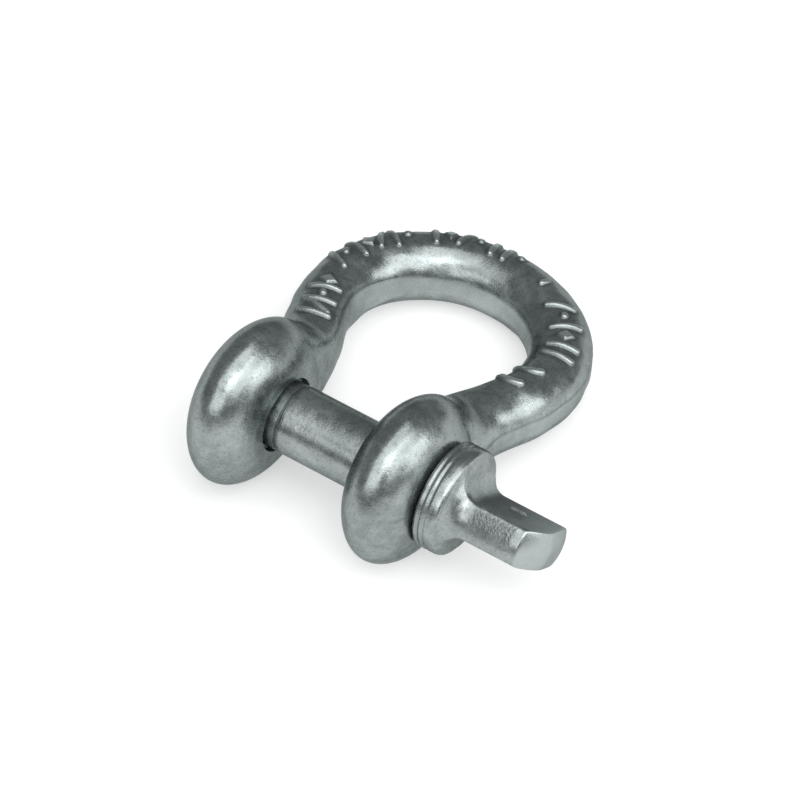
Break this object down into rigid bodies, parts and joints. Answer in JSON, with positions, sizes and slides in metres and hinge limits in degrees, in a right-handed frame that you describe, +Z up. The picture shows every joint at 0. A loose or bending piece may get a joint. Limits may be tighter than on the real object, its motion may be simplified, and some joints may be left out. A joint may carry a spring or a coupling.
{
  "type": "screw pin bow shackle",
  "caption": "Galvanised bow shackle: a forged round-bar bow with two eyes, closed by a screw pin with a collar and a flattened tongue.",
  "frame": {"origin": "middle of the bounding box's base: the surface that the shackle lies on, under the middle of its box", "axes": "+X along the pin towards its head, +Y towards the crown of the bow, +Z up; the bow's plane leans 10 degrees down towards the crown, so the two eyes' rims and the crown touch the surface"},
  "size_m": [0.1032, 0.108, 0.0445],
  "materials": {
    "bow_zinc": "hot-dip galvanised forged steel, satin grey with a slightly mottled skin",
    "pin_zinc": "hot-dip galvanised forged steel, a little brighter on the turned shank"
  },
  "bodies": {
    "bow": {"bow": "bow_zinc"},
    "screw_pin": {"screw_pin": "pin_zinc"}
  },
  "joints": [
    {"name": "pin_withdraw", "type": "slide", "parent": "bow", "child": "screw_pin", "axis": [1, 0, 0], "range_m": [0, 0.07]}
  ]
}
